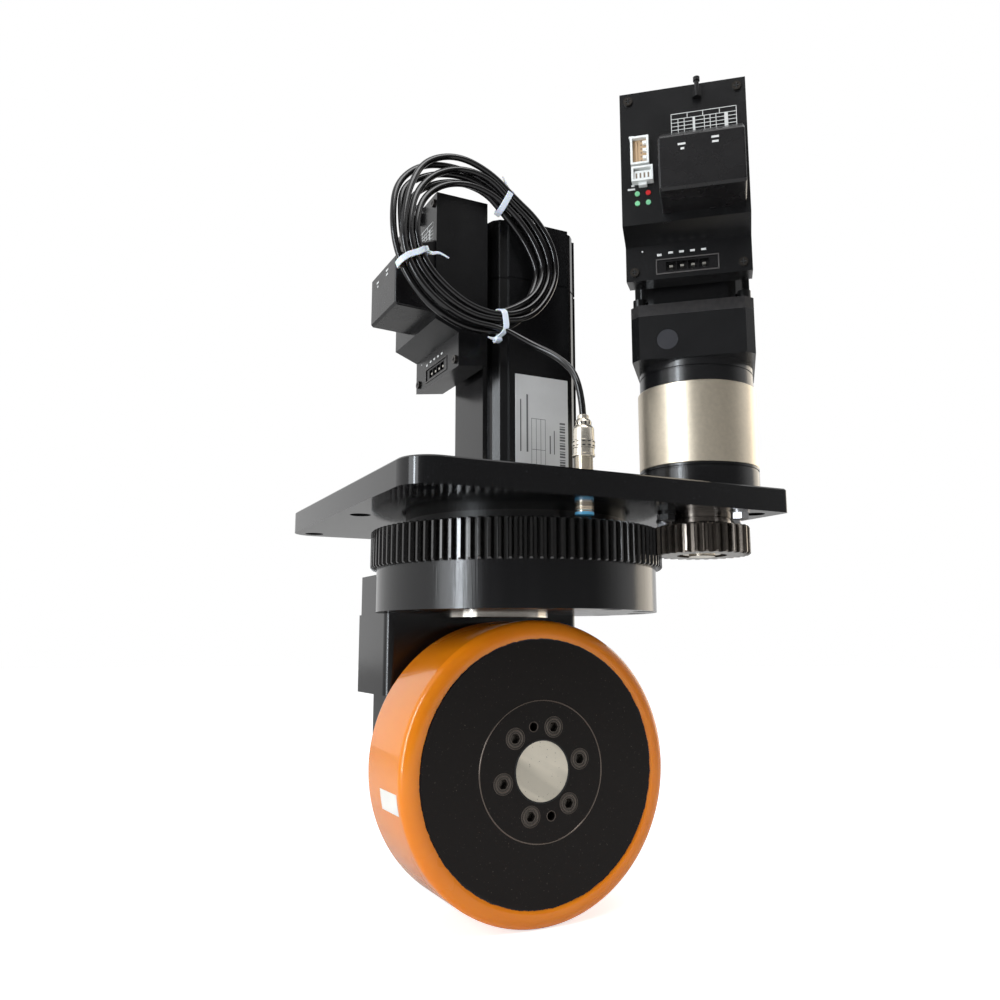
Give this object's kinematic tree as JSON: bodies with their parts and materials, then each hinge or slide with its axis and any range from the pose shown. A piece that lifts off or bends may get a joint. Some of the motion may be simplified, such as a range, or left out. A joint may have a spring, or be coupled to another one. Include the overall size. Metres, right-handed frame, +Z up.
{
  "type": "agv drive wheel unit",
  "caption": "Steered drive wheel unit: geared slewing turret with an upright traction motor and side-mounted tyred wheel, and a geared steering motor on a flat mounting plate.",
  "frame": {"origin": "on the steering axis, at the underside of the mounting plate", "axes": "+Z up along the steering axis; +X along the plate's front edge, the rolling direction; +Y along the wheel axle, from the wheel towards the gear housing"},
  "size_m": [0.2792, 0.334, 0.5375],
  "materials": {
    "anodised_black": "gloss black anodised",
    "gear_black": "black oxide, oiled",
    "bright_steel": "ground",
    "machined_bright": "machined",
    "satin_silver": "satin anodised",
    "cast_black": "painted black",
    "cast_grey": "cast, dusty",
    "drive_black": "fine textured black",
    "cover_black": "fine textured",
    "hub_black": "matt black",
    "screw_black": "black oxide",
    "zinc_plated": "zinc plated",
    "nickel": "nickel plated",
    "pin_tin": "tinned",
    "sensor_blue": "gloss",
    "header_white": "plain",
    "lamp_green": "clear lens",
    "seal_rubber": "plain",
    "cable_black": "smooth jacket",
    "tie_white": "plain",
    "tread_amber": "gloss cast polyurethane"
  },
  "bodies": {
    "mount": {"mounting_plate": "anodised_black", "inner_ring_screws": "screw_black", "gearbox_bolts": "zinc_plated", "bearing_inner_ring": "bright_steel", "bearing_rollers": "bright_steel", "steer_gearbox_base": "anodised_black", "shaft_bearing": "bright_steel", "steer_ring_gear": "satin_silver", "steer_input_collar": "anodised_black", "steer_adapter_block": "anodised_black", "clamp_access_plug": "anodised_black", "steer_motor_flange": "cast_grey", "steer_motor_screws": "screw_black", "steer_motor_body": "drive_black", "steer_drive_box": "drive_black", "steer_terminal_cover": "cover_black", "steer_power_connector": "cover_black", "steer_power_pins": "pin_tin", "steer_signal_headers": "header_white", "steer_status_lamps": "lamp_green", "steer_panel_screws": "screw_black", "steer_cable_post": "cover_black", "home_sensor": "nickel", "sensor_cap": "sensor_blue", "sensor_nut": "nickel", "sensor_plug": "nickel", "sensor_cable_lead": "cable_black"},
    "pinion": {"steer_shaft": "bright_steel", "steer_pinion": "gear_black", "pinion_retainer": "bright_steel"},
    "turret": {"slewing_gear": "gear_black", "turret_ring": "anodised_black", "turret_ring_screws": "screw_black", "gear_housing": "cast_black", "housing_screws": "screw_black", "locating_spigot": "machined_bright", "bearing_end_cover": "cast_black", "end_cover_screws": "screw_black", "axle_bearings": "bright_steel", "axle_seal": "seal_rubber", "traction_reducer": "cast_black", "reducer_screws": "screw_black", "traction_motor_body": "drive_black", "traction_drive_box": "drive_black", "traction_terminal_cover": "cover_black", "traction_power_connector": "cover_black", "traction_power_pins": "pin_tin", "traction_signal_headers": "header_white", "traction_status_lamps": "lamp_green", "traction_panel_screws": "screw_black", "traction_cable_post": "cover_black", "cable_coil": "cable_black", "cable_ties": "tie_white"},
    "wheel": {"axle": "bright_steel", "hub_flange": "hub_black", "wheel_hub": "hub_black", "hub_screws": "screw_black", "tyre": "tread_amber"}
  },
  "joints": [
    {"name": "steer", "type": "hinge", "parent": "mount", "child": "turret", "pos_m": [0, 0, 0], "axis": [0, 0, 1], "range_deg": [-110, 70], "deforming": ["sensor_cable_lead"]},
    {"name": "pinion_spin", "type": "hinge", "parent": "mount", "child": "pinion", "pos_m": [0.09334, -0.09334, 0], "axis": [0, 0, 1], "range_deg": [-238.1, 374.1]},
    {"name": "wheel_spin", "type": "hinge", "parent": "turret", "child": "wheel", "pos_m": [0, 0, -0.1683], "axis": [0, 1, 0], "continuous": true}
  ],
  "couplings": [
    {"joint": "pinion_spin", "follows": "steer", "ratio": -3.4}
  ]
}
